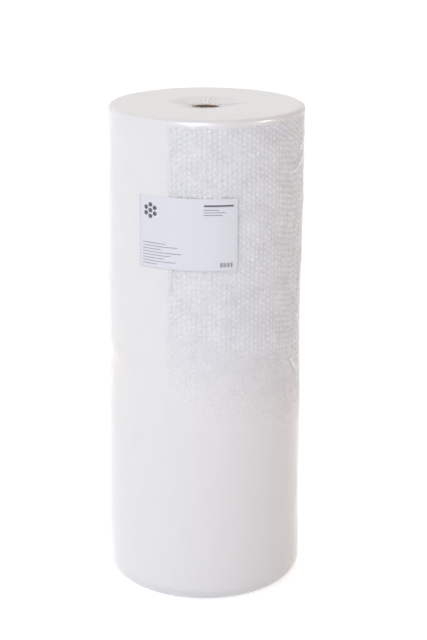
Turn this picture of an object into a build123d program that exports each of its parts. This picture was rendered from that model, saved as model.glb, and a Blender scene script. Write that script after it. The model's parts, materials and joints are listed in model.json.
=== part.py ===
from build123d import *
from math import cos, degrees, pi, radians, sin
import os

# Bubble wrap roll, standing on its end: a web with air bubbles wound on a cardboard tube,
# packed in clear shrink film over a paper label. Millimetres, +Z up, and the origin is at
# the centre of the foot. The front, with the label, looks along -Y.

# The wound web
web_width = 1000.0
web_thickness = 4.0
roll_radius = 193.5
foot_rounding = 28.0
head_rounding = 8.0

# The turns at both ends. Each ridge of the spiral stands for six turns of the web.
turn_ridge_pitch = 24.0
turn_ridge_depth = 4.0

# Equal flats that the rounded edges of the wound web and the film fall into
foot_flat_count = 3
head_flat_count = 1

# The ends sink towards the core, where the shrinking film pulls the turns in
dish_depth = 8.0
dish_radius = 78.0

# Columns of bubbles round the outside. Each rib stands for two or three, with a valley
# between each two ribs.
bubble_rib_pitch = 24.0
valley_width = 6.0
valley_depth = 2.0
plain_margin = 4.0
cut_overrun = 1.0

# The web's free edge, where the outside steps by one thickness, turned from +X to the back
tail_angle = 118.0

# The cardboard tube
core_bore_radius = 25.0
core_wall = 4.0
core_clearance = 0.2

# The shrink film, drawn thicker than the real one so that it is a solid wall
film_wall = 0.8
film_clearance = 0.3
film_side_clearance = 0.6
film_opening_margin = 2.0

# The gathers of the film round each opening
gather_count = 12
gather_width = 2.2
gather_height = 2.4

# Slanting creases on the film's side, in groups to the right of the label: turn from the
# front, height as a share of the film's, slope and sweep of each, angles in degrees
crease_width = 4.0
crease_height = 1.5
crease_shares = [
    (66, 0.925, -50, 22),
    (72, 0.895, -56, 20),
    (70, 0.600, -48, 22),
    (62, 0.492, -44, 24),
    (50, 0.425, -34, 28),
    (54, 0.400, -36, 28),
    (58, 0.372, -38, 26),
]

# The label, a paper sheet lying on the bubbles, its middle turned from the front to -X
label_length = 204.0
label_height = 145.0
label_thickness = 0.3
label_clearance = 0.2
label_middle_height = 778.0
label_turn = 10.6
front_angle = 270.0

# Places that follow from the sizes
roll_foot = film_wall + film_clearance
roll_head = roll_foot + web_width
film_head = roll_head + film_clearance + film_wall
film_radius = roll_radius + web_thickness + film_side_clearance + film_wall
film_foot_rounding = foot_rounding + film_clearance + film_wall
film_head_rounding = head_rounding + film_clearance + film_wall
core_outer_radius = core_bore_radius + core_wall
film_opening_radius = core_outer_radius + film_opening_margin
core_foot = roll_foot + dish_depth
core_length = web_width - 2 * dish_depth
wound_bore_radius = core_outer_radius + core_clearance
upright = Vector(0, 0, 1)
tail_outward = Vector(1, 0, 0).rotate(Axis.Z, tail_angle)


def section_plane(outward, up, origin):
    """A plane whose x axis looks outward and whose y axis looks up."""
    return Plane(origin=origin, x_dir=outward, z_dir=outward.cross(up))


def spiral_halves(pitch):
    """The two half turns of a spiral of that pitch: centre, added radius and sense."""
    return [(Vector(0, 0, 0), 0, 1), (tail_outward * (pitch / 2), pitch / 2, -1)]


def dish_drop(radius):
    """How far an end lies below its rim at that radius."""
    inside = (dish_radius - radius) / (dish_radius - wound_bore_radius)
    return dish_depth * min(max(inside, 0), 1)


def corner(middle_radius, middle_height, rounding, start_angle, flats):
    """The points of a rounded edge, a quarter turn about its middle in equal flats."""
    turns = [radians(start_angle + 90 * flat / flats) for flat in range(flats + 1)]
    return [
        (middle_radius + rounding * cos(turn), middle_height + rounding * sin(turn))
        for turn in turns
    ]


def ridge_line(added_radius):
    """Radius and drop of each valley and crest, from the bore to past the outside."""
    points = []
    valley = core_bore_radius
    while valley > turn_ridge_pitch:
        valley -= turn_ridge_pitch
    while valley < roll_radius + web_thickness + turn_ridge_pitch:
        crest = valley + turn_ridge_pitch / 2
        points.append((valley + added_radius, dish_drop(valley) + turn_ridge_depth))
        points.append((crest + added_radius, dish_drop(crest)))
        valley += turn_ridge_pitch
    return points


# The web's turns as a spiral of ridges on both ends, wider than the roll will be
with BuildPart() as wound_turns:
    for centre, added_radius, sense in spiral_halves(turn_ridge_pitch):
        ridges = ridge_line(added_radius)
        first_drop = ridges[0][1]
        with BuildSketch(section_plane(tail_outward, upright, centre)):
            with BuildLine():
                Polyline(
                    (0, roll_foot + first_drop),
                    *[(radius, roll_foot + drop) for radius, drop in ridges],
                    *[(radius, roll_head - drop) for radius, drop in reversed(ridges)],
                    (0, roll_head - first_drop),
                    close=True,
                )
            make_face()
        revolve(axis=Axis(centre, upright), revolution_arc=sense * 180)

# The whole roll: rounded edges, one step of the web's thickness at the tail edge, the bore
# for the core, and valleys between the ribs of bubbles
with BuildPart() as bubble_roll:
    for centre, added_radius, sense in spiral_halves(web_thickness):
        outside = roll_radius + added_radius
        foot_middle = (outside - foot_rounding, roll_foot + foot_rounding)
        head_middle = (outside - head_rounding, roll_head - head_rounding)
        with BuildSketch(section_plane(tail_outward, upright, centre)):
            with BuildLine():
                Polyline(
                    (0, roll_foot),
                    *corner(*foot_middle, foot_rounding, -90, foot_flat_count),
                    *corner(*head_middle, head_rounding, 0, head_flat_count),
                    (0, roll_head),
                    close=True,
                )
            make_face()
        revolve(axis=Axis(centre, upright), revolution_arc=sense * 180)
    add(wound_turns.part, mode=Mode.INTERSECT)
    with BuildSketch():
        Circle(wound_bore_radius)
    extrude(amount=film_head, mode=Mode.SUBTRACT)
    valley_foot = roll_foot + foot_rounding + plain_margin
    valley_length = web_width - foot_rounding - head_rounding - 2 * plain_margin
    valleys_in_half = round(pi * roll_radius / bubble_rib_pitch)
    overrun_width = valley_width * (1 + cut_overrun / valley_depth)
    for centre, added_radius, sense in spiral_halves(web_thickness):
        with BuildSketch(
            Plane(origin=centre + upright * valley_foot, x_dir=tail_outward, z_dir=upright)
        ):
            with PolarLocations(
                roll_radius + added_radius,
                valleys_in_half,
                start_angle=sense * 90 - 90 + 90 / valleys_in_half,
                angular_range=180,
                endpoint=False,
            ):
                Polygon(
                    (cut_overrun, -overrun_width / 2),
                    (cut_overrun, overrun_width / 2),
                    (-valley_depth, 0),
                    align=None,
                )
        extrude(amount=valley_length, mode=Mode.SUBTRACT)
bubble_roll.part.label = "bubble_roll"

# The cardboard tube that the web is wound on, its ends level with the sunk turns
with BuildPart() as core_tube:
    with BuildSketch(Plane.XY.offset(core_foot)):
        Circle(core_outer_radius)
        Circle(core_bore_radius, mode=Mode.SUBTRACT)
    extrude(amount=core_length)
core_tube.part.label = "core_tube"


def film_outline(inset):
    """Half the film's upright section, filled to the axis and drawn that far inside it."""
    low = inset
    high = film_head - inset
    foot_middle = (film_radius - film_foot_rounding, film_foot_rounding)
    head_middle = (film_radius - film_head_rounding, film_head - film_head_rounding)
    return [
        (0, low + dish_depth),
        (film_opening_radius, low + dish_depth),
        (dish_radius, low),
        *corner(*foot_middle, film_foot_rounding - inset, -90, foot_flat_count),
        *corner(*head_middle, film_head_rounding - inset, 0, head_flat_count),
        (dish_radius, high),
        (film_opening_radius, high - dish_depth),
        (0, high - dish_depth),
    ]


def side_crease(turn, height_share, slope, sweep):
    """A fold that runs aslant on the film's side: a small ridge turned about a tilted axis,
    so that it sinks into the film at both ends."""
    height = height_share * film_head
    inner = film_radius - film_wall / 2
    outward = Vector(1, 0, 0).rotate(Axis.Z, front_angle + turn)
    tilted = upright.rotate(Axis((0, 0, 0), outward), slope)
    start = outward.rotate(Axis((0, 0, 0), tilted), -sweep / 2)
    with BuildPart() as fold:
        with BuildSketch(section_plane(start, tilted, (0, 0, height))):
            with BuildLine():
                Polyline(
                    (inner, -crease_width / 2),
                    (inner, crease_width / 2),
                    (film_radius + crease_height, 0),
                    close=True,
                )
            make_face()
        revolve(axis=Axis((0, 0, height), tilted), revolution_arc=sweep)
    return fold.part


# One gather at the head and one at the foot: a fold of film standing on the sunk middle,
# highest at the opening
with BuildPart() as gather_pair:
    with BuildSketch(Plane.XZ):
        for rim_height, upward in ((film_head, 1), (0, -1)):
            with BuildLine():
                Polyline(
                    (film_opening_radius, rim_height - upward * (dish_depth + film_wall / 2)),
                    (film_opening_radius, rim_height - upward * (dish_depth - gather_height)),
                    (dish_radius, rim_height - upward * film_wall / 2),
                    close=True,
                )
            make_face()
    extrude(amount=gather_width / 2, both=True)

# The film, open round the core at both ends, with gathers round each opening and creases
# on its side. Its inside is cut last, so that no fold reaches through the wall.
with BuildPart() as shrink_film:
    with BuildSketch(Plane.XZ):
        with BuildLine():
            Polyline(*film_outline(0), close=True)
        make_face()
    revolve(axis=Axis.Z)
    with PolarLocations(0, gather_count, start_angle=180 / gather_count):
        add(gather_pair.part)
    for crease in crease_shares:
        add(side_crease(*crease))
    with BuildSketch(Plane.XZ):
        with BuildLine():
            Polyline(*film_outline(film_wall), close=True)
        make_face()
    revolve(axis=Axis.Z, mode=Mode.SUBTRACT)
    with BuildSketch():
        Circle(film_opening_radius)
    extrude(amount=film_head, mode=Mode.SUBTRACT)
shrink_film.part.label = "shrink_film"

# The paper label, bent round the roll and lying on the bubbles
label_radius = roll_radius + label_clearance
label_sweep = degrees(label_length / label_radius)
label_start = front_angle - label_turn - label_sweep / 2
with BuildPart() as paper_label:
    with BuildSketch(Plane.XY.offset(label_middle_height - label_height / 2)):
        with BuildLine():
            back = CenterArc((0, 0), label_radius, label_start, label_sweep)
            face = CenterArc((0, 0), label_radius + label_thickness, label_start, label_sweep)
            Line(back @ 0, face @ 0)
            Line(back @ 1, face @ 1)
        make_face()
    extrude(amount=label_height)
paper_label.part.label = "paper_label"

os.makedirs("parts", exist_ok=True)
export_step(bubble_roll.part, "parts/bubble_roll.step")
export_step(core_tube.part, "parts/core_tube.step")
export_step(shrink_film.part, "parts/shrink_film.step")
export_step(paper_label.part, "parts/paper_label.step")
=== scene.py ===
import json
import math

import bmesh
import bpy
import numpy as np
from bpy.props import (
    FloatProperty,
    FloatVectorProperty,
    IntProperty,
    PointerProperty,
    StringProperty,
)
from mathutils import Matrix, Vector, noise


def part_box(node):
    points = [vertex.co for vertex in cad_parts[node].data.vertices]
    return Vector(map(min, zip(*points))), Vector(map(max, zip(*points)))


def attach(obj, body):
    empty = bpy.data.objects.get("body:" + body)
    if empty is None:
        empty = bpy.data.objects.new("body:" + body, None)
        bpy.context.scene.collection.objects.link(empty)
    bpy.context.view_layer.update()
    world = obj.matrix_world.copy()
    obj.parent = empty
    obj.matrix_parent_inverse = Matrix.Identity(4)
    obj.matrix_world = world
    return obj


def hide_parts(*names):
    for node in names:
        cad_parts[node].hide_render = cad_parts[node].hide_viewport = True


bl_info = {
    "name": "Bubble Wrap Roll",
    "version": (1, 0, 0),
    "blender": (4, 5, 0),
    "location": "3D View > Sidebar > Roll",
    "description": "Dresses a roll of bubble wrap in its bubbles, shrink film, core and label",
    "category": "Object",
}

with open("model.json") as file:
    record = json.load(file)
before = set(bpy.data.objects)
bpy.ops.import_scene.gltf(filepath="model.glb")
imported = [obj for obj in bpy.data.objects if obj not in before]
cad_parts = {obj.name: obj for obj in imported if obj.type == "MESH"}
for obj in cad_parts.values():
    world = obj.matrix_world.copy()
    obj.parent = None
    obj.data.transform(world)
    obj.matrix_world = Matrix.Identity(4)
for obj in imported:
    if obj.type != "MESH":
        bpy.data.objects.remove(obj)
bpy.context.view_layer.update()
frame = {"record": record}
MM = 0.001
FULL_TURN = 2 * math.pi
BODY = "root"

# Places that the frame gives, in metres
ROLL_FOOT, ROLL_HEAD = (corner.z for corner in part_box("bubble_roll"))
FILM_FOOT, FILM_HEAD = (corner.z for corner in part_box("shrink_film"))
FILM_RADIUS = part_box("shrink_film")[1].x
CORE_FOOT, CORE_HEAD = (corner.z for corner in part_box("core_tube"))
CORE_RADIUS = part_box("core_tube")[1].x
LABEL_FOOT, LABEL_HEAD = (corner.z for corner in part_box("paper_label"))
BORE = next(mount for mount in frame["record"]["mounts"] if mount["name"] == "core_bore")
BORE_RADIUS = BORE["dims"]["r_mm"] * MM

# The roll's rounded edges, and its ends that sink towards the core, as in the solids
FOOT_ROUNDING = 28 * MM
HEAD_ROUNDING = 8 * MM
DISH_DEPTH = 8 * MM
DISH_RADIUS = 78 * MM

# Turns about the axis, in degrees from +X. The label looks along -Y.
FRONT_ANGLE = 270.0
TAIL_ANGLE = 118.0

# How much the wrapped roll swells, in millimetres, at shares of its height: on the side
# towards -X and on the side towards +X. The shrinking film draws a waist at half height.
SWELL_SHARES = [
    (0.00, 2.6, 1.6),
    (0.05, 4.6, 2.6),
    (0.13, 5.4, 1.5),
    (0.26, 4.3, 1.0),
    (0.36, 3.0, 1.2),
    (0.44, 0.4, -0.2),
    (0.48, -1.6, -1.2),
    (0.53, 2.6, -1.9),
    (0.58, 2.8, -2.4),
    (0.70, 1.5, -1.0),
    (0.83, 0.2, 0.6),
    (0.92, -0.8, -0.8),
    (1.00, -1.4, 0.6),
]

# The film turns milky below a line that falls to the right: its height at the middle in
# metres, and how much it falls for each metre
MILK_LINE = 0.53
MILK_FALL = 0.42

# Folds on the film's side: turn to the right of the front in degrees, height as a share of
# the roll's, slope in degrees, then length, width and depth in millimetres
FOLD_SHARES = [
    (76, 0.905, 30, 150, 30, 1.6),
    (70, 0.600, -48, 84, 12, 2.2),
    (62, 0.492, -44, 96, 12, 2.2),
    (57, 0.427, -28, 84, 13, 2.8),
    (58, 0.404, -30, 84, 13, 2.8),
    (55, 0.384, -25, 60, 12, 2.6),
    (51, 0.369, -30, 92, 13, 2.8),
    (16, 0.450, -30, 90, 12, 1.0),
    (-74, 0.480, 8, 150, 26, -2.0),
    (150, 0.620, -50, 120, 13, 2.2),
    (190, 0.440, 42, 140, 13, 2.2),
    (215, 0.300, 50, 100, 12, 1.8),
    (235, 0.760, 38, 120, 13, 2.0),
]

# Narrow pinches that stand on the film, in the same columns
PINCH_SHARES = [
    (78, 0.934, 31, 78, 6.0, 1.3),
    (71, 0.896, 29, 76, 5.0, 1.3),
    (80, 0.876, 32, 74, 6.0, 1.3),
    (84, 0.820, 58, 60, 6.0, 1.2),
    (81, 0.700, 84, 90, 8.0, 1.2),
    (76, 0.655, 76, 70, 6.0, 1.2),
    (74, 0.560, -50, 60, 3.0, 1.0),
    (66, 0.474, -44, 60, 3.0, 1.0),
    (100, 0.905, 40, 90, 5.0, 2.0),
    (128, 0.640, 62, 110, 5.0, 1.8),
    (165, 0.800, -40, 90, 5.0, 1.8),
    (205, 0.520, 36, 120, 5.0, 2.0),
    (243, 0.400, -52, 80, 5.0, 1.6),
]


def millimetres(name, size, description):
    """A length among the settings, its default given in millimetres."""
    return FloatProperty(name=name, description=description, default=size * MM, unit="LENGTH")


def degrees(name, angle, description):
    """An angle among the settings, its default given in degrees."""
    return FloatProperty(
        name=name, description=description, default=math.radians(angle), unit="ROTATION"
    )


class WebSizes(bpy.types.PropertyGroup):
    """Sizes of the bubble web"""

    thickness: millimetres("Turn Thickness", 4.0, "What each turn adds to the radius")
    bubble_width: millimetres("Bubble Width", 9.4, "Across one bubble")
    bubble_height: millimetres("Bubble Height", 3.6, "From the web to a bubble's crown")
    row_pitch: millimetres("Row Pitch", 11.55, "Between bubbles along the roll")
    column_pairs: IntProperty(
        name="Column Pairs", description="Pairs of bubble columns round the roll", default=62
    )
    bands: IntProperty(
        name="Bands", description="Pieces that the bubbles are divided into", default=4
    )
    turn_steps: IntProperty(name="Turn Steps", description="Facets round the roll", default=144)
    milk: StringProperty(name="Milk", description="Colour of the web", default="#EDF0F6")


class FilmSizes(bpy.types.PropertyGroup):
    """Sizes of the shrink film"""

    clearance: millimetres("Clearance", 0.5, "Between bubbles and film")
    opening: millimetres("Opening", 26.6, "Radius of the hole round the core")
    row_pitch: millimetres("Row Pitch", 4.6, "Between rows of faces on the side")
    turn_steps: IntProperty(name="Turn Steps", description="Facets round the film", default=288)
    pleats: IntProperty(name="Pleats", description="Gathers round the hole", default=26)
    haze: StringProperty(name="Haze", description="Colour of the film's haze", default="#EFF0F4")


class LabelSizes(bpy.types.PropertyGroup):
    """Sizes of the paper label"""

    length: millimetres("Length", 204.0, "Round the roll")
    turn: degrees("Turn", 10.6, "Of its middle from the front")
    paper: StringProperty(name="Paper", description="Colour of the paper", default="#E9EDF6")
    ink: StringProperty(name="Ink", description="Colour of the print", default="#4A4C55")


class CoreSizes(bpy.types.PropertyGroup):
    """Sizes of the cardboard core"""

    plies: IntProperty(name="Plies", description="Paper plies in the wall", default=5)
    strip: millimetres("Strip", 90.0, "Width of the wound paper strip")
    board: StringProperty(name="Board", description="Colour of the board", default="#8C6B4F")


class StageSizes(bpy.types.PropertyGroup):
    """The camera"""

    camera_place: FloatVectorProperty(
        name="Camera Place",
        description="Where the camera stands",
        default=(0.01625, -3.360, 1.595),
        subtype="XYZ",
    )
    camera_pitch: degrees("Camera Pitch", 15.18, "Downward tilt")
    camera_roll: degrees("Camera Roll", 0.31, "Turn about the line of sight")
    camera_lens: FloatProperty(
        name="Camera Lens", description="Focal length in mm", default=95.1
    )
    camera_shift: FloatProperty(
        name="Camera Shift", description="Upward, as a share of the longer side", default=-0.1
    )


def linear(hex_colour):
    """An sRGB hex colour as the linear RGBA that shaders take."""
    channels = [int(hex_colour[place : place + 2], 16) / 255 for place in (1, 3, 5)]
    light = [c / 12.92 if c <= 0.04045 else ((c + 0.055) / 1.055) ** 2.4 for c in channels]
    return (*light, 1.0)


def add_node(tree, kind, settings=None, links=None):
    """One node with its settings, and its inputs set to values or linked to sockets."""
    made = tree.nodes.new(kind)
    for name, value in (settings or {}).items():
        setattr(made, name, value)
    for name, value in (links or {}).items():
        if isinstance(value, bpy.types.NodeSocket):
            tree.links.new(value, made.inputs[name])
        else:
            made.inputs[name].default_value = value
    return made


def calculate(tree, operation, *values):
    """The result of one Math node on those values or sockets."""
    links = dict(enumerate(values))
    return add_node(tree, "ShaderNodeMath", {"operation": operation}, links).outputs[0]


def calculate_vector(tree, operation, *values, result="Vector"):
    """The result of one Vector Math node on those vectors or sockets."""
    links = dict(enumerate(values))
    made = add_node(tree, "ShaderNodeVectorMath", {"operation": operation}, links)
    return made.outputs[result]


def remap(tree, value, before, after=(0.0, 1.0), smooth=False):
    """The value carried from one range to another and held within it, evenly or in a
    smooth step."""
    settings = {"interpolation_type": "SMOOTHSTEP" if smooth else "LINEAR"}
    ends = zip(("From Min", "From Max", "To Min", "To Max"), (*before, *after))
    made = add_node(tree, "ShaderNodeMapRange", settings, {"Value": value, **dict(ends)})
    return made.outputs["Result"]


def two_tones(tree, share, low, high):
    """A colour between two stops, each given as a position and an sRGB hex colour."""
    ramp = add_node(tree, "ShaderNodeValToRGB", links={"Fac": share})
    for element, (position, colour) in zip(ramp.color_ramp.elements, (low, high)):
        element.position = position
        element.color = linear(colour)
    return ramp.outputs["Color"]


def blend(tree, share, first, second):
    """A colour that goes from the first to the second as the share goes from 0 to 1."""
    colours = {0: share, 6: first, 7: second}
    return add_node(tree, "ShaderNodeMix", {"data_type": "RGBA"}, colours).outputs[2]


def split(tree, place):
    """The x, y and z of those points, each as a socket."""
    return tuple(add_node(tree, "ShaderNodeSeparateXYZ", links={"Vector": place}).outputs)


def grain(tree, place, size, detail, distortion=0.0, stretch=(1, 1, 1)):
    """Soft noise on those points that changes over that many millimetres, stretched for a
    pattern that runs one way."""
    scale = [share / MM for share in stretch]
    mapped = add_node(tree, "ShaderNodeMapping", links={"Vector": place, "Scale": scale})
    links = {
        "Vector": mapped.outputs["Vector"],
        "Scale": 1 / size,
        "Detail": detail,
        "Distortion": distortion,
    }
    return add_node(tree, "ShaderNodeTexNoise", links=links).outputs["Fac"]


def relief(tree, height, strength, depth):
    """The normals of a surface that has this pattern of heights, as deep as that."""
    links = {"Height": height, "Strength": strength, "Distance": depth}
    return add_node(tree, "ShaderNodeBump", links=links).outputs["Normal"]


def new_material(name):
    """A material whose tree is empty, and that tree."""
    material = bpy.data.materials.new(name)
    material.use_nodes = True
    material.node_tree.nodes.clear()
    return material, material.node_tree


def object_points(tree):
    """The points of the object, in metres, that a material's patterns lie on."""
    return add_node(tree, "ShaderNodeTexCoord").outputs["Object"]


def show(tree, inputs):
    """Ends a material's tree with a Principled surface that has those inputs."""
    surface = add_node(tree, "ShaderNodeBsdfPrincipled", links=inputs)
    add_node(tree, "ShaderNodeOutputMaterial", links={"Surface": surface.outputs["BSDF"]})


def seen_plainly(tree):
    """1 where the camera, gloss or glass sees a surface, and 0 where it only lights."""
    rays = add_node(tree, "ShaderNodeLightPath").outputs
    seen = calculate(tree, "MAXIMUM", rays["Is Camera Ray"], rays["Is Glossy Ray"])
    return calculate(tree, "MAXIMUM", seen, rays["Is Transmission Ray"])


def web_film_material(milk):
    """Low-density polyethylene, blown into bubbles: milky in many layers, with a soft gloss."""
    material, tree = new_material("milky_polyethylene_web")
    place = object_points(tree)
    clouds = grain(tree, place, size=38, detail=3.0)
    crinkles = grain(tree, place, size=2.4, detail=2.0)
    dull_patches = grain(tree, place, size=15, detail=1.0)
    surface = {
        "Base Color": two_tones(tree, clouds, (0.3, "#E0E3EA"), (0.7, milk)),
        "Roughness": remap(tree, dull_patches, (0.42, 0.6), (0.06, 0.4)),
        "IOR": 1.51,
        "Normal": relief(tree, crinkles, strength=0.5, depth=0.5 * MM),
    }
    show(tree, surface)
    return material


def clear_film_material(haze):
    """Clear polyolefin shrink film: a thin gloss that strengthens where it is seen aslant,
    over a faint haze. The haze is milky where the film lies double, to the left of the
    label's middle, and round the lower half, which hides the bubbles behind it."""
    material, tree = new_material("clear_shrink_film")
    place = object_points(tree)
    streaks = grain(tree, place, size=9, detail=4.0, distortion=0.4, stretch=(1, 1, 0.22))
    normal = relief(tree, streaks, strength=0.25, depth=1.0 * MM)
    slant = add_node(tree, "ShaderNodeLayerWeight", links={"Blend": 0.3, "Normal": normal})
    gloss = remap(tree, slant.outputs["Fresnel"], (0.0, 1.0), (0.03, 0.5))
    cover = calculate(tree, "ADD", gloss, film_milk(tree, place))
    height = split(tree, place)[2]
    head_edge = (FILM_HEAD - 20 * MM, FILM_HEAD - 8 * MM)
    surface = {
        "Base Color": linear(haze),
        "Metallic": calculate(tree, "DIVIDE", gloss, cover),
        "Roughness": remap(tree, height, head_edge, (0.1, 0.3)),
        "IOR": 1.5,
        "Alpha": cover,
        "Normal": normal,
    }
    show(tree, surface)
    return material


def film_milk(tree, place):
    """How milky the film is at each place: more where it lies double, lower down and on the
    head, and not over the label, which lies between the two layers."""
    x, y, z = split(tree, place)
    wander = grain(tree, place, size=60, detail=2.0)

    # The double film runs round the left side, from 20.5 degrees left of the front to 15
    # degrees short of the back. The turn is counted from the back and is negative there.
    turn = calculate(tree, "ARCTAN2", x, y)
    edge_wander = 0.05
    uneven_turn = calculate(tree, "MULTIPLY_ADD", wander, edge_wander, turn)
    front_edge = math.radians(-180 + 20.5) + edge_wander / 2
    back_edge = math.radians(-15)
    past_front = remap(tree, uneven_turn, (front_edge - 0.02, front_edge + 0.04), smooth=True)
    short_of_back = remap(tree, turn, (back_edge, back_edge + 0.04), (1.0, 0.0), smooth=True)
    double = calculate(tree, "MINIMUM", past_front, short_of_back)

    # The lower half is milky below a slanting line, which wanders and breaks up in a mottle
    line_wander = 0.04
    mottle_reach = 0.24
    fade = 0.09
    mottle = grain(tree, place, size=1.2, detail=0.0)
    aslant = calculate(tree, "MULTIPLY_ADD", x, MILK_FALL, z)
    uneven = calculate(tree, "MULTIPLY_ADD", wander, line_wander, aslant)
    mottled = calculate(tree, "MULTIPLY_ADD", mottle, mottle_reach, uneven)
    line = MILK_LINE + (line_wander + mottle_reach) / 2
    lower = remap(tree, mottled, (line - fade, line), (1.0, 0.0), smooth=True)

    head = remap(tree, z, (FILM_HEAD - 17 * MM, FILM_HEAD - 9 * MM), smooth=True)
    milky = calculate(tree, "MAXIMUM", calculate(tree, "MAXIMUM", double, lower), head)
    milk = remap(tree, milky, (0.0, 1.0), (0.12, 0.82))
    clearing = remap(tree, over_label(tree, place), (0.0, 1.0), (1.0, 0.03))
    return calculate(tree, "MULTIPLY", milk, clearing)


def over_label(tree, place):
    """1 on the film over the label and 0 elsewhere."""
    label = bpy.context.scene.roll_label
    middle = math.radians(FRONT_ANGLE) - label.turn
    towards_label = (math.cos(middle), math.sin(middle), 0)
    level = calculate_vector(tree, "MULTIPLY", place, (1, 1, 0))
    outward = calculate_vector(tree, "NORMALIZE", level)
    nearness = calculate_vector(tree, "DOT_PRODUCT", outward, towards_label, result="Value")
    half_turn = label.length / 2 / FILM_RADIUS
    beside = calculate(tree, "GREATER_THAN", nearness, math.cos(half_turn))
    middle_height = (LABEL_FOOT + LABEL_HEAD) / 2
    half_height = (LABEL_HEAD - LABEL_FOOT) / 2
    height = split(tree, place)[2]
    as_high = calculate(tree, "COMPARE", height, middle_height, half_height)
    return calculate(tree, "MULTIPLY", beside, as_high)


def folded_film_material(haze):
    """The same shrink film pinched into three layers: whiter, and glossy along its crest."""
    material, tree = new_material("folded_shrink_film")
    wrinkles = grain(tree, object_points(tree), size=3, detail=2.0)
    surface = {
        "Base Color": linear(haze),
        "Metallic": 0.9,
        "Roughness": 0.25,
        "IOR": 1.5,
        "Alpha": remap(tree, wrinkles, (0.3, 0.7), (0.55, 0.95)),
        "Normal": relief(tree, wrinkles, strength=0.3, depth=0.4 * MM),
    }
    show(tree, surface)
    return material


def label_paper_material(paper):
    """Uncoated white label paper: matt, with a faint fibre mottle."""
    material, tree = new_material("uncoated_label_paper")
    fibres = grain(tree, object_points(tree), size=1.6, detail=5.0)
    surface = {
        "Base Color": two_tones(tree, fibres, (0.0, "#DFE4EF"), (1.0, paper)),
        "Roughness": 0.62,
        "Normal": relief(tree, fibres, strength=0.15, depth=0.1 * MM),
    }
    show(tree, surface)
    return material


def printing_ink_material(ink):
    """Laser toner: dark grey and slightly glossier than the paper."""
    material, tree = new_material("grey_toner")
    specks = grain(tree, object_points(tree), size=0.8, detail=2.0)
    wear = remap(tree, specks, (0.0, 1.0), (0.38, 0.5))
    show(tree, {"Base Color": linear(ink), "Roughness": wear})
    return material


def core_board_material(board, strip):
    """Spiral-wound grey-brown core board: matt paper with fibres and a seam each turn."""
    material, tree = new_material("spiral_wound_core_board")
    place = object_points(tree)
    x, y, z = split(tree, place)
    turn = calculate(tree, "ARCTAN2", y, x)
    climb = calculate(tree, "MULTIPLY", turn, strip / FULL_TURN)
    climbed = calculate(tree, "ADD", z, climb)
    from_seam = calculate(tree, "PINGPONG", climbed, strip / 2)
    off_seam = remap(tree, from_seam, (0.0, 0.8 * MM))
    fibres = grain(tree, place, size=3.0, detail=8.0)
    tint = two_tones(tree, fibres, (0.3, "#6A4E38"), (0.75, board))
    surface = {
        "Base Color": blend(tree, off_seam, linear("#4A3424"), tint),
        "Roughness": 0.85,
        "Normal": relief(tree, fibres, strength=0.4, depth=0.3 * MM),
    }
    show(tree, surface)
    return material


def white_ground_material():
    """Seamless white paper: matt, and full white where the camera, gloss or glass sees it."""
    material, tree = new_material("white_ground")
    surface = {
        "Base Color": linear("#F4F4F4"),
        "Roughness": 0.9,
        "Specular IOR Level": 0.0,
        "Emission Color": linear("#FFFFFF"),
        "Emission Strength": calculate(tree, "MULTIPLY", seen_plainly(tree), 0.6),
    }
    show(tree, surface)
    return material


def finish_piece(work, name, material):
    """Turns the bmesh into a piece of the object, smooth, riding on the roll."""
    mesh = bpy.data.meshes.new(name)
    work.to_mesh(mesh)
    work.free()
    mesh.materials.append(material)
    mesh.shade_smooth()
    piece = bpy.data.objects.new(name, mesh)
    bpy.context.scene.collection.objects.link(piece)
    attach(piece, BODY)
    return piece


def read_points(mesh):
    """The mesh's vertices as an array of x, y and z."""
    points = np.empty(len(mesh.vertices) * 3)
    mesh.vertices.foreach_get("co", points)
    return points.reshape(-1, 3)


def write_points(mesh, points):
    """Puts the array back into the mesh's vertices."""
    mesh.vertices.foreach_set("co", points.ravel())
    mesh.update()


def polar(points):
    """Radius and turn about the axis, in radians from 0 to a full turn."""
    radius = np.hypot(points[:, 0], points[:, 1])
    turn = np.mod(np.arctan2(points[:, 1], points[:, 0]), FULL_TURN)
    return radius, turn


def place_polar(points, radius, turn):
    """Moves the points to that radius and turn, at their height."""
    points[:, 0] = radius * np.cos(turn)
    points[:, 1] = radius * np.sin(turn)


def at_head(points):
    """1 for points on the upper half of the film and 0 for those on the lower."""
    return np.where(points[:, 2] > (FILM_FOOT + FILM_HEAD) / 2, 1, 0)


def film_height(share):
    """The height at that share of the film's."""
    return FILM_FOOT + share * (FILM_HEAD - FILM_FOOT)


def smooth_noise(points, size, seed):
    """Soft random values from -1 to 1, one for each point, that change over that size."""
    shift = Vector((seed * 7.3, seed * 3.1, seed * 5.7))
    return np.array([noise.noise(Vector(point) / size + shift) for point in points])


def scatter(values, spread=43758.5453):
    """Uneven shares from 0 to 1, one for each value, that are the same in every run."""
    return np.modf(np.abs(np.sin(values)) * spread)[0]


def ease(value, low, high):
    """0 below low, 1 above high, and a smooth rise between."""
    share = np.clip((value - low) / (high - low), 0, 1)
    return share * share * (3 - 2 * share)


def swell(turn, height):
    """How far the wrapped roll's side stands out from a plain cylinder, in metres."""
    share = (height - FILM_FOOT) / (FILM_HEAD - FILM_FOOT)
    shares, left, right = (np.array(column) for column in zip(*SWELL_SHARES))
    index = np.clip(np.searchsorted(shares, share) - 1, 0, len(shares) - 2)
    eased = ease(share, shares[index], shares[index + 1])
    at_left = left[index] + (left[index + 1] - left[index]) * eased
    at_right = right[index] + (right[index + 1] - right[index]) * eased
    rightness = (1 + np.cos(turn)) / 2
    return (at_left * (1 - rightness) + at_right * rightness) * MM


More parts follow.
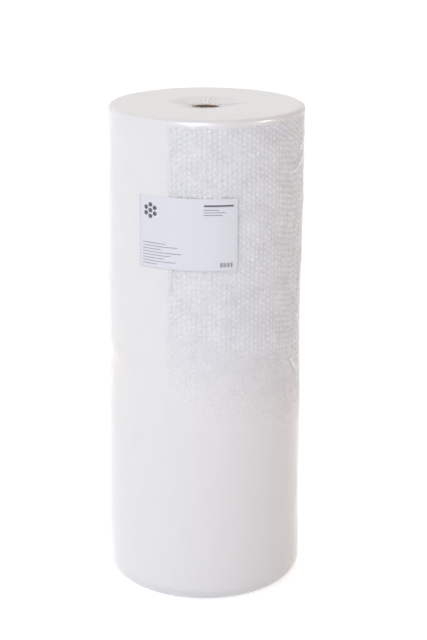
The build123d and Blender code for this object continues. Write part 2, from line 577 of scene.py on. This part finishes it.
def tail_step(turn, thickness):
    """The step at the web's free edge, half outwards and half inwards, fading both ways."""
    past = np.mod(turn - math.radians(TAIL_ANGLE), FULL_TURN)
    before = FULL_TURN - past
    fade = math.radians(40)
    return thickness / 2 * (np.exp(-before / fade) - np.exp(-past / fade))


def web_face_radius():
    """Radius of the web's outer face, which the bubbles stand on."""
    web = bpy.context.scene.roll_web
    film = bpy.context.scene.roll_film
    return FILM_RADIUS - film.clearance - web.bubble_height


def fit_to_roll(mesh, inner=0.0, outer=1 * MM):
    """Moves the mesh's vertices as the wrapped roll swells, not at all inside the inner
    radius and fully outside the outer one."""
    points = read_points(mesh)
    radius, turn = polar(points)
    thickness = bpy.context.scene.roll_web.thickness
    moved = swell(turn, points[:, 2]) + tail_step(turn, thickness)
    place_polar(points, radius + moved * ease(radius, inner, outer), turn)
    write_points(mesh, points)


def crease_film(mesh):
    """Raises the folds on the film's side, and lets the film ripple between them."""
    fold_bend, fold_sharpness = 0.7, 1.6
    side_ripple, end_ripple = 0.45 * MM, 0.5 * MM
    points = read_points(mesh)
    radius, turn = polar(points)
    from_back = np.mod(turn - math.radians(FRONT_ANGLE) + math.pi, FULL_TURN)
    from_front = np.degrees(from_back - math.pi)
    raised = np.zeros(len(points))
    for fold_turn, share, slope, length, width, depth in FOLD_SHARES:
        across = np.mod(from_front - fold_turn + 180, 360) - 180
        x = np.radians(across) * FILM_RADIUS
        y = points[:, 2] - film_height(share)
        lean = math.radians(slope)
        along = (x * math.cos(lean) + y * math.sin(lean)) / (length * MM / 2)
        aside = (-x * math.sin(lean) + y * math.cos(lean)) / (width * MM / 2)
        aside = aside - fold_bend * along**2
        profile = np.exp(-(aside**2) * fold_sharpness) * np.clip(1 - along**2, 0, 1)
        raised += depth * MM * profile
    stretched = points * np.array([1, 1, 0.35])
    ripples = smooth_noise(stretched, 34 * MM, 1) + 0.5 * smooth_noise(stretched, 13 * MM, 2)
    raised += side_ripple * (ripples + 0.4)
    on_side = ease(radius, FILM_RADIUS - 16 * MM, FILM_RADIUS - 3 * MM)
    place_polar(points, radius + raised * on_side, turn)
    on_head = (1 - on_side) * at_head(points)
    points[:, 2] += end_ripple * (smooth_noise(points, 40 * MM, 3) + 0.2) * on_head
    write_points(mesh, points)


def even_steps(start, end, rows):
    """Points in even steps from start to end."""
    return [
        tuple(a + (b - a) * row / rows for a, b in zip(start, end)) for row in range(rows + 1)
    ]


def quarter(middle_radius, middle_height, rounding, start, steps):
    """Points of a rounded edge: a quarter turn about its middle."""
    angles = [start + math.pi / 2 * step / steps for step in range(steps + 1)]
    return [
        (middle_radius + rounding * math.cos(angle), middle_height + rounding * math.sin(angle))
        for angle in angles
    ]


def revolve(work, outline, steps, closed, growth=0.0):
    """Turns a chain of edges through those points, given as radius and height, once about
    the axis, from the tail's turn. A growth moves it outwards on the way, in a spiral."""
    outward = Matrix.Rotation(math.radians(TAIL_ANGLE), 3, "Z") @ Vector((1, 0, 0))
    corners = [work.verts.new(outward * radius + Vector((0, 0, z))) for radius, z in outline]
    chain = [work.edges.new(pair) for pair in zip(corners, corners[1:])]
    if closed:
        chain.append(work.edges.new((corners[-1], corners[0])))
    bmesh.ops.spin(
        work,
        geom=corners + chain,
        cent=(0, 0, 0),
        axis=(0, 0, 1),
        dvec=outward * growth / steps,
        angle=FULL_TURN,
        steps=steps,
        use_merge=growth == 0,
    )


class ROLL_OT_turns(bpy.types.Operator):
    """Wind the web: all its turns, with their edges as a fine spiral at both ends"""

    bl_idname = "roll.turns"
    bl_label = "Wound Turns"

    def execute(self, context):
        web = context.scene.roll_web
        face = web_face_radius()
        work = bmesh.new()
        outline = self.outline(web, face)
        revolve(work, outline, web.turn_steps, closed=True, growth=web.thickness)
        inmost = CORE_RADIUS + 0.2 * MM
        for corner in work.verts:
            radius = math.hypot(corner.co.x, corner.co.y)
            if radius < inmost:
                corner.co.x *= inmost / radius
                corner.co.y *= inmost / radius
        bmesh.ops.remove_doubles(work, verts=work.verts, dist=0.02 * MM)
        bmesh.ops.dissolve_degenerate(work, edges=work.edges, dist=0.01 * MM)
        open_edges = [edge for edge in work.edges if edge.is_boundary]
        bmesh.ops.holes_fill(work, edges=open_edges, sides=0)
        bmesh.ops.recalc_face_normals(work, faces=work.faces)
        piece = finish_piece(work, "wound_turns", web_film_material(web.milk))
        self.true_outside(piece.data, web, face)
        fit_to_roll(piece.data, face - 80 * MM, face)
        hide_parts("bubble_roll")
        return {"FINISHED"}

    def outline(self, web, face):
        """The section of the turns: their edges at the foot, the side, and their edges at
        the head, with a groove between each two."""
        groove_depth = 1.1 * MM
        crown_shares = (0.3, 0.7)
        side_rows = 56
        side_share = 0.6
        turns = round((face - CORE_RADIUS) / web.thickness) + 1
        edges = []
        for turn in range(turns, 0, -1):
            groove = face - turn * web.thickness
            edges.append((groove, groove_depth))
            edges += [(groove + web.thickness * share, 0.0) for share in crown_shares]
        foot = [
            (radius, ROLL_FOOT + self.end_drop(radius, face, FOOT_ROUNDING) + depth)
            for radius, depth in edges
        ]
        head = [
            (radius, ROLL_HEAD - self.end_drop(radius, face, HEAD_ROUNDING) - depth)
            for radius, depth in reversed(edges)
        ]
        side_foot = (face, ROLL_FOOT + FOOT_ROUNDING * side_share)
        side_head = (face, ROLL_HEAD - HEAD_ROUNDING * side_share)
        return foot + even_steps(side_foot, side_head, side_rows) + head

    def end_drop(self, radius, face, rounding):
        """How far a turn's edge lies inside the end at that radius."""
        inside = (radius - CORE_RADIUS) / (DISH_RADIUS - CORE_RADIUS)
        sunk = DISH_DEPTH * (1 - min(max(inside, 0), 1))
        past = radius - (face - rounding)
        if past > 0:
            sunk += rounding - math.sqrt(max(rounding**2 - min(past, rounding) ** 2, 0))
        return sunk

    def true_outside(self, mesh, web, face):
        """Takes the spiral's growth back towards the outside, where the step at the tail is
        put on later, with all that lies on the web."""
        points = read_points(mesh)
        radius, turn = polar(points)
        nudge = 1e-4
        past = np.mod(turn - math.radians(TAIL_ANGLE) + nudge, FULL_TURN) / FULL_TURN
        outside = ease(radius, face - 60 * MM, face)
        place_polar(points, radius - web.thickness * past * outside, turn)
        write_points(mesh, points)


class ROLL_OT_bubbles(bpy.types.Operator):
    """Blow the bubbles: columns of domes round the roll, every second column half a row up"""

    bl_idname = "roll.bubbles"
    bl_label = "Bubbles"

    def execute(self, context):
        web = context.scene.roll_web
        face = web_face_radius()
        foot_margin, head_margin = 22 * MM, 5 * MM
        covered = ROLL_HEAD - ROLL_FOOT - (foot_margin + head_margin)
        rows = int(covered / web.row_pitch / web.bands)
        column_step = math.pi / web.column_pairs
        pairs_left = web.column_pairs - 1
        material = web_film_material(web.milk)
        for band in range(web.bands):
            work = bmesh.new()
            for column in (0, 1):
                steps_up = band * rows + column / 2
                height = ROLL_FOOT + foot_margin + steps_up * web.row_pitch
                self.blow(work, web, face, column * column_step, height)
            self.repeat(work, rows - 1, rise=web.row_pitch)
            self.repeat(work, pairs_left, angle=FULL_TURN * pairs_left / web.column_pairs)
            piece = finish_piece(work, f"bubbles_band_{band + 1}", material)
            self.ease_off(piece.data, web, face, column_step)
            fit_to_roll(piece.data)
            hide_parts("bubble_roll")
        return {"FINISHED"}

    def blow(self, work, web, face, angle, height):
        """One bubble: the upper half of a ball, flattened, standing on the web's face."""
        sunk = 0.15 * MM
        dome = bmesh.ops.create_uvsphere(work, u_segments=8, v_segments=6, radius=1.0)["verts"]
        faces = list({near for corner in dome for near in corner.link_faces})
        edges = list({near for corner in dome for near in corner.link_edges})
        cut = bmesh.ops.bisect_plane(
            work,
            geom=dome + edges + faces,
            dist=0.001,
            plane_co=(0, 0, 0),
            plane_no=(0, 0, 1),
            clear_inner=True,
        )
        left = [part for part in cut["geom"] + cut["geom_cut"] if part.is_valid]
        kept = list({part for part in left if isinstance(part, bmesh.types.BMVert)})
        half = web.bubble_width / 2
        bmesh.ops.scale(work, vec=(half, half, web.bubble_height), verts=kept)
        upright = Matrix.Rotation(math.pi / 2, 4, "Y")
        place = Matrix.Translation((face - sunk, 0, height))
        around = Matrix.Rotation(angle, 4, "Z")
        bmesh.ops.transform(work, matrix=around @ place @ upright, verts=kept)

    def repeat(self, work, steps, angle=0.0, rise=0.0):
        """Copies all that is there in steps, up the roll or round its axis."""
        bmesh.ops.spin(
            work,
            geom=work.verts[:] + work.edges[:] + work.faces[:],
            cent=(0, 0, 0),
            axis=(0, 0, 1),
            dvec=(0, 0, rise),
            angle=angle,
            steps=steps,
            use_duplicate=True,
        )

    def ease_off(self, mesh, web, face, column_step):
        """Lets the bubbles differ: some fuller than others, in rows that wander and columns
        that slip, and pressed low along the line where the film turns milky."""
        least_full, full_spread = 0.7, 0.3
        press_share, press_band, press_fade = 0.88, 0.06, 0.05
        row_wander, column_slip = 1.1, 9
        points = read_points(mesh)
        radius, turn = polar(points)
        x, _, height = points.T
        column = np.round(turn / column_step) % (2 * web.column_pairs)
        row = np.round((height - column % 2 * web.row_pitch / 2) / web.row_pitch)
        share = scatter(column * 12.9898 + row * 78.233)
        aslant = height + MILK_FALL * x - MILK_LINE
        above = np.maximum(aslant, 0) / press_fade
        below = np.minimum(aslant + press_band, 0) / press_fade
        pressed = np.exp(-(above**2) - below**2)
        fullness = (least_full + full_spread * share) * (1 - press_share * pressed)
        place_polar(points, face + (radius - face) * fullness, turn)
        wander = np.sin(turn * 3 + height * 9) + np.sin(turn * 7 - height * 15)
        slip = scatter(column * 37.719, 9573.137) - 0.5
        free = ease(height, 0.05, 0.1) * (1 - ease(height, 0.93, 0.97))
        points[:, 2] += (row_wander * wander + column_slip * slip * free) * MM
        write_points(mesh, points)


class ROLL_OT_core(bpy.types.Operator):
    """Make the cardboard core: a wound tube with plies showing on its cut ends"""

    bl_idname = "roll.core"
    bl_label = "Cardboard Core"

    def execute(self, context):
        core = context.scene.roll_core
        ply_wall = (CORE_RADIUS - BORE_RADIUS) / core.plies
        groove = 0.35 * MM
        turn_steps = 96
        head = []
        for ply in range(core.plies):
            near = BORE_RADIUS + ply_wall * ply
            middle, far = near + ply_wall / 2, near + ply_wall * 0.9
            head += [(near, CORE_HEAD - groove), (middle, CORE_HEAD), (far, CORE_HEAD)]
        head.append((CORE_RADIUS, CORE_HEAD - groove))
        foot = [(radius, CORE_FOOT + CORE_HEAD - height) for radius, height in reversed(head)]
        work = bmesh.new()
        revolve(work, head + foot, turn_steps, closed=True)
        bmesh.ops.recalc_face_normals(work, faces=work.faces)
        material = core_board_material(core.board, core.strip)
        piece = finish_piece(work, "cardboard_core", material)
        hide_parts("core_tube")
        return {"FINISHED"}


class ROLL_OT_film(bpy.types.Operator):
    """Shrink the film on the roll: closed over its side and ends, open round the core"""

    bl_idname = "roll.film"
    bl_label = "Shrink Film"

    def execute(self, context):
        film = context.scene.roll_film
        work = bmesh.new()
        revolve(work, self.outline(film), film.turn_steps, closed=False)
        bmesh.ops.recalc_face_normals(work, faces=work.faces)
        material = clear_film_material(film.haze)
        piece = finish_piece(work, "clear_shrink_film", material)
        crease_film(piece.data)
        self.gather(piece.data, film)
        fit_to_roll(piece.data, 150 * MM, FILM_RADIUS - 2 * MM)
        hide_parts("shrink_film")
        # The film is too thin to shade what lies under it
        piece.visible_shadow = False
        piece.visible_diffuse = False
        return {"FINISHED"}

    def outline(self, film):
        """The film's section from the foot's opening to the head's, its rims rolled in."""
        over_web = 1.1 * MM
        foot_rounding = FOOT_ROUNDING + over_web
        head_rounding = HEAD_ROUNDING + over_web
        rim_roll = 0.8 * MM
        foot_steps, head_steps = 8, 5
        ring_rows, dish_rows = 17, 10
        side_rows = round(
            (FILM_HEAD - FILM_FOOT - foot_rounding - head_rounding) / film.row_pitch
        )
        foot_rim = (film.opening, FILM_FOOT + DISH_DEPTH)
        head_rim = (film.opening, FILM_HEAD - DISH_DEPTH)
        foot_dish, head_dish = (DISH_RADIUS, FILM_FOOT), (DISH_RADIUS, FILM_HEAD)
        foot_middle, head_middle = FILM_RADIUS - foot_rounding, FILM_RADIUS - head_rounding
        side_foot, side_head = FILM_FOOT + foot_rounding, FILM_HEAD - head_rounding
        stretches = [
            even_steps(foot_rim, foot_dish, dish_rows),
            even_steps(foot_dish, (foot_middle, FILM_FOOT), ring_rows),
            quarter(foot_middle, side_foot, foot_rounding, -math.pi / 2, foot_steps),
            even_steps((FILM_RADIUS, side_foot), (FILM_RADIUS, side_head), side_rows),
            quarter(head_middle, side_head, head_rounding, 0, head_steps),
            even_steps((head_middle, FILM_HEAD), head_dish, ring_rows),
            even_steps(head_dish, head_rim, dish_rows),
        ]
        points = [(foot_rim[0] + rim_roll, foot_rim[1] + rim_roll)]
        for stretch in stretches:
            points += stretch[:-1]
        return [*points, head_rim, (head_rim[0] + rim_roll, head_rim[1] - rim_roll)]

    def gather(self, mesh, film):
        """Pleats of film that run in to the hole round the core, at both ends, lower towards
        the front, where a lip stands at the head's rim."""
        pleat_height, lip_height = 2.4 * MM, 2.6 * MM
        foot_share = 0.3
        rim_width, rim_wobble = 12 * MM, 1.4 * MM
        points = read_points(mesh)
        radius, turn = polar(points)
        wobble = 0.35 * np.sin(turn * 3 + 1) + 0.25 * np.sin(turn * 5)
        phase = (turn + wobble * 0.3) * film.pleats / 2
        uneven = scatter(np.round(phase / math.pi) * 12.9898)
        pleat = np.abs(np.cos(phase)) ** 3 * (0.25 + uneven)
        reach = DISH_RADIUS + 30 * MM * (0.5 + 0.5 * np.sin(turn * 4 + 2))
        near = 1 - ease(radius, film.opening, reach)
        frontward = np.clip(np.cos(turn - math.radians(FRONT_ANGLE)), 0, 1)
        lift = pleat_height * pleat * near * (1 + wobble) * (1 - 0.5 * frontward)
        upward = at_head(points)
        points[:, 2] += lift * upward - foot_share * lift * (1 - upward)
        at_rim = 1 - ease(radius, film.opening, film.opening + rim_width)
        points[:, 2] += lip_height * frontward * at_rim * upward
        points[:, 2] = np.maximum(points[:, 2], FILM_FOOT)
        rim = rim_wobble * (wobble + 0.3 * np.cos(turn * film.pleats))
        place_polar(points, radius + rim * at_rim, turn)
        write_points(mesh, points)


class ROLL_OT_folds(bpy.types.Operator):
    """Pinch the film into narrow folds that stand on its side and shine white"""

    bl_idname = "roll.folds"
    bl_label = "Standing Folds"

    def execute(self, context):
        film = context.scene.roll_film
        apart = 2
        work = bmesh.new()
        for number in range(len(PINCH_SHARES)):
            strip = bmesh.ops.create_grid(work, x_segments=24, y_segments=6, size=0.5)["verts"]
            bmesh.ops.translate(work, vec=(number * apart, 0, 0), verts=strip)
        material = folded_film_material(film.haze)
        piece = finish_piece(work, "film_folds", material)
        raised = self.lay(piece.data, apart)
        crease_film(piece.data)
        points = read_points(piece.data)
        radius, turn = polar(points)
        place_polar(points, radius + raised, turn)
        write_points(piece.data, points)
        fit_to_roll(piece.data)
        piece.visible_shadow = False
        return {"FINISHED"}

    def lay(self, mesh, apart):
        """Lays the flat strips on the plain film, each bent a little and narrowed to its
        tips, and gives how far each point of them stands out."""
        bend, clearance = 0.04, 0.15
        points = read_points(mesh)
        number = np.round(points[:, 0] / apart).astype(int)
        turn, share, slope, length, width, depth = np.array(PINCH_SHARES)[number].T
        along = points[:, 0] - number * apart
        aside = points[:, 1]
        narrow = np.sqrt(np.clip(1 - (2 * along) ** 2, 0, 1))
        lean = np.radians(slope)
        x = along * length
        y = aside * width * narrow + bend * length * (2 * along) ** 2
        around = (x * np.cos(lean) - y * np.sin(lean)) * MM / FILM_RADIUS
        raised = depth * narrow * (1 - np.abs(2 * aside)) + clearance
        points[:, 2] = film_height(share) + (x * np.sin(lean) + y * np.cos(lean)) * MM
        angle = math.radians(FRONT_ANGLE) + np.radians(turn) + around
        place_polar(points, np.full(len(points), FILM_RADIUS), angle)
        write_points(mesh, points)
        return raised * MM


class ROLL_OT_label(bpy.types.Operator):
    """Lay the paper label under the film, with plain bars and dots as its print"""

    bl_idname = "roll.label"
    bl_label = "Paper Label"

    def execute(self, context):
        label = context.scene.roll_label
        height = LABEL_HEAD - LABEL_FOOT
        lie = FILM_RADIUS - context.scene.roll_film.clearance * 0.6
        paper_thickness, ink_lift = 0.12 * MM, 0.16 * MM
        sheet = bmesh.new()
        bmesh.ops.create_grid(sheet, x_segments=68, y_segments=48, size=0.5)
        bmesh.ops.scale(sheet, vec=(label.length, height, 1), verts=sheet.verts)
        whole = bmesh.ops.extrude_face_region(sheet, geom=sheet.faces[:])
        raised = [part for part in whole["geom"] if isinstance(part, bmesh.types.BMVert)]
        bmesh.ops.translate(sheet, vec=(0, 0, paper_thickness), verts=raised)
        bmesh.ops.recalc_face_normals(sheet, faces=sheet.faces)
        paper = label_paper_material(label.paper)
        piece = finish_piece(sheet, "label_sheet", paper)
        self.bend(piece.data, label, lie)
        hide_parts("paper_label")

        ink = bmesh.new()
        for x, y, width, tall in self.bars(label.length, height):
            self.bar(ink, x, y, width, tall)
        for x, y, radius in self.dots(label.length, height):
            dot = bmesh.ops.create_circle(ink, cap_ends=True, segments=16, radius=radius)
            bmesh.ops.translate(ink, vec=(x, y, 0), verts=dot["verts"])
        bmesh.ops.triangulate(ink, faces=[face for face in ink.faces if len(face.verts) > 4])
        toner = printing_ink_material(label.ink)
        printed = finish_piece(ink, "label_print", toner)
        self.bend(printed.data, label, lie + ink_lift)
        return {"FINISHED"}

    def bar(self, work, x, y, width, tall):
        """One printed bar, its lower left corner at x and y, in faces that bend with the
        sheet."""
        cells = max(1, round(width / (4 * MM)))
        grid = bmesh.ops.create_grid(work, x_segments=cells, y_segments=1, size=0.5)
        corners = grid["verts"]
        bmesh.ops.scale(work, vec=(width, tall, 1), verts=corners)
        bmesh.ops.translate(work, vec=(x + width / 2, y + tall / 2, 0), verts=corners)

    def bars(self, length, height):
        """Bars for lines of print: a heading, a few notes, a block of lines and a row of
        ticks."""
        left, right = -length / 2 + 8 * MM, length / 2 - 10 * MM
        top, bottom = height / 2 - 12 * MM, -height / 2 + 8 * MM
        heading, block = 58 * MM, 84 * MM
        made = [(right - heading, top - 4 * MM, heading, 3.6 * MM)]
        for line, share in enumerate((0.5, 0.72, 0.62)):
            note_foot = top - (11 + 5 * line) * MM
            made.append((right - heading, note_foot, heading * share, 1.1 * MM))
        for line, share in enumerate((0.62, 0.9, 0.5, 1.0, 0.74, 0.58, 0.86, 0.4)):
            made.append((left, bottom + (42 - 6 * line) * MM, block * share, 1.0 * MM))
        for tick in range(12):
            width = (0.9, 1.6, 0.7)[tick % 3] * MM
            made.append((right - 26 * MM + tick * 2.2 * MM, bottom, width, 9 * MM))
        return made

    def dots(self, length, height):
        """A ring of dots round one in the middle, like bubbles seen from above."""
        middle = Vector((-length / 2 + 26 * MM, height / 2 - 30 * MM))
        apart, radius = 11.5 * MM, 4.6 * MM
        turns = [math.pi / 3 * step + math.pi / 6 for step in range(6)]
        ring = [middle + Vector((math.cos(turn), math.sin(turn))) * apart for turn in turns]
        return [(place.x, place.y, radius) for place in (middle, *ring)]

    def bend(self, mesh, label, lie):
        """Bends flat print or paper round the roll at that radius."""
        points = read_points(mesh)
        middle = math.radians(FRONT_ANGLE) - label.turn
        turn = middle + points[:, 0] / FILM_RADIUS
        radius = lie + points[:, 2]
        points[:, 2] = (LABEL_FOOT + LABEL_HEAD) / 2 + points[:, 1]
        place_polar(points, radius, turn)
        write_points(mesh, points)
        fit_to_roll(mesh)


class ROLL_OT_stage(bpy.types.Operator):
    """Set the white ground, the soft lamps and the camera"""

    bl_idname = "roll.stage"
    bl_label = "Stage"

    # Name, place in metres, width and height, power in watts, colour, and whether it only
    # glints. The soft lamps light the roll, and the others show in its gloss alone.
    LAMPS = [
        ("left_softbox", (-2.3, -1.35, 1.5), (1.5, 2.6), 3, "#FFFFFF", False),
        ("front_softbox", (0.2, -3.3, 1.4), (1.6, 1.6), 21, "#DAE5FF", False),
        ("rim_glare", (-1.0, -2.9, 3.0), (0.5, 0.4), 30, "#FFFFFF", True),
        ("side_glint", (2.6, -0.9, 1.9), (0.3, 0.3), 30, "#FFF4EC", True),
        ("bubble_glint", (-0.7, -3.1, 2.5), (0.35, 0.35), 100, "#FFFFFF", True),
    ]

    def execute(self, context):
        scene = context.scene
        self.lay_ground(scene)
        for lamp in self.LAMPS:
            self.hang_lamp(scene, *lamp)
        self.light_world(scene)
        self.place_camera(scene)
        scene.view_settings.view_transform = "Standard"
        return {"FINISHED"}

    def lay_ground(self, scene):
        """A wide sheet of white paper that keeps the roll's shadow."""
        reach = 12
        ground = bmesh.new()
        bmesh.ops.create_grid(ground, x_segments=1, y_segments=1, size=reach)
        mesh = bpy.data.meshes.new("ground")
        ground.to_mesh(mesh)
        ground.free()
        mesh.materials.append(white_ground_material())
        floor = bpy.data.objects.new("ground", mesh)
        scene.collection.objects.link(floor)

    def hang_lamp(self, scene, name, place, size, power, colour, glints):
        """A rectangular lamp that looks at the middle of the roll."""
        roll_middle = Vector((0, 0, 0.5))
        lamp = bpy.data.lights.new(name, "AREA")
        lamp.shape = "RECTANGLE"
        lamp.size, lamp.size_y = size
        lamp.energy = power
        lamp.color = linear(colour)[:3]
        holder = bpy.data.objects.new(name, lamp)
        holder.visible_glossy = glints
        holder.visible_diffuse = not glints
        holder.location = place
        aim = roll_middle - Vector(place)
        holder.rotation_euler = aim.to_track_quat("-Z", "Y").to_euler()
        scene.collection.objects.link(holder)

    def light_world(self, scene):
        """A room that is white to the eye and in gloss, and lights warmer from the right."""
        world = bpy.data.worlds.new("white_surround")
        world.use_nodes = True
        scene.world = world
        tree = world.node_tree
        tree.nodes.clear()
        towards = add_node(tree, "ShaderNodeTexCoord").outputs["Generated"]
        rightward = remap(tree, split(tree, towards)[0], (-0.8, 0.9))
        room = two_tones(tree, rightward, (0.0, "#FFFFFF"), (1.0, "#A68F73"))
        colour = blend(tree, seen_plainly(tree), room, linear("#FFFFFF"))
        links = {"Color": colour, "Strength": 1.0}
        surround = add_node(tree, "ShaderNodeBackground", links=links).outputs["Background"]
        add_node(tree, "ShaderNodeOutputWorld", links={"Surface": surround})

    def place_camera(self, scene):
        """The photograph's camera: a long lens, a little above the roll, shifted down."""
        stage = scene.roll_stage
        lens = bpy.data.cameras.new("camera")
        lens.lens = stage.camera_lens
        lens.shift_y = stage.camera_shift
        camera = bpy.data.objects.new("camera", lens)
        tilt = Matrix.Rotation(math.pi / 2 - stage.camera_pitch, 4, "X")
        turn = Matrix.Rotation(stage.camera_roll, 4, "Z")
        camera.matrix_world = Matrix.Translation(stage.camera_place) @ tilt @ turn
        scene.collection.objects.link(camera)
        scene.camera = camera


class ROLL_PT_panel(bpy.types.Panel):
    """The roll's sizes and the operators that make its pieces"""

    bl_label = "Bubble Wrap Roll"
    bl_idname = "ROLL_PT_panel"
    bl_space_type = "VIEW_3D"
    bl_region_type = "UI"
    bl_category = "Roll"

    def draw(self, context):
        layout = self.layout
        for name in SETTINGS:
            box = layout.box()
            group = getattr(context.scene, name)
            for size in group.bl_rna.properties:
                if size.identifier not in ("rna_type", "name"):
                    box.prop(group, size.identifier)
        for operator in OPERATORS:
            layout.operator(operator.bl_idname)


SETTINGS = {
    "roll_web": WebSizes,
    "roll_film": FilmSizes,
    "roll_label": LabelSizes,
    "roll_core": CoreSizes,
    "roll_stage": StageSizes,
}
OPERATORS = [
    ROLL_OT_turns,
    ROLL_OT_bubbles,
    ROLL_OT_core,
    ROLL_OT_film,
    ROLL_OT_folds,
    ROLL_OT_label,
    ROLL_OT_stage,
]


def register():
    for item in (*SETTINGS.values(), *OPERATORS, ROLL_PT_panel):
        bpy.utils.register_class(item)
    for name, group in SETTINGS.items():
        setattr(bpy.types.Scene, name, PointerProperty(type=group))


def unregister():
    for name in SETTINGS:
        delattr(bpy.types.Scene, name)
    for item in reversed((*SETTINGS.values(), *OPERATORS, ROLL_PT_panel)):
        bpy.utils.unregister_class(item)


def main():
    register()
    bpy.ops.roll.turns()
    bpy.ops.roll.bubbles()
    bpy.ops.roll.core()
    bpy.ops.roll.film()
    bpy.ops.roll.folds()
    bpy.ops.roll.label()
    bpy.ops.roll.stage()


if __name__ == "__main__":
    main()
